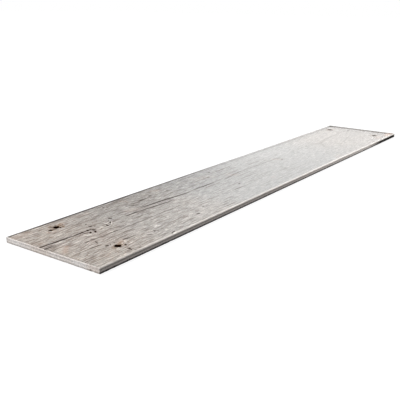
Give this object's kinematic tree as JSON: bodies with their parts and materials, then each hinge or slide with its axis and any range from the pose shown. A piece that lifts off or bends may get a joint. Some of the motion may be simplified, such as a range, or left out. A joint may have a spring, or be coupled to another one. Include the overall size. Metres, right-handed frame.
{
  "type": "wood-look floor tile",
  "caption": "Long flat porcelain floor tile with a whitewashed board print, nail marks near its ends, bevelled edges and a square-lug key pattern on its back.",
  "frame": {"origin": "middle of the back, in the plane that the lugs rest on", "axes": "+X along the board grain towards the far end, +Y towards the left long edge, +Z out of the glazed face"},
  "size_m": [1.2, 0.2, 0.0095],
  "materials": {
    "printed_porcelain": "satin glazed face with a whitewashed, nailed softwood board print; bare pale grey body on the ground edges and the back"
  },
  "bodies": {
    "root": {"floor_tile": "printed_porcelain"}
  },
  "joints": []
}
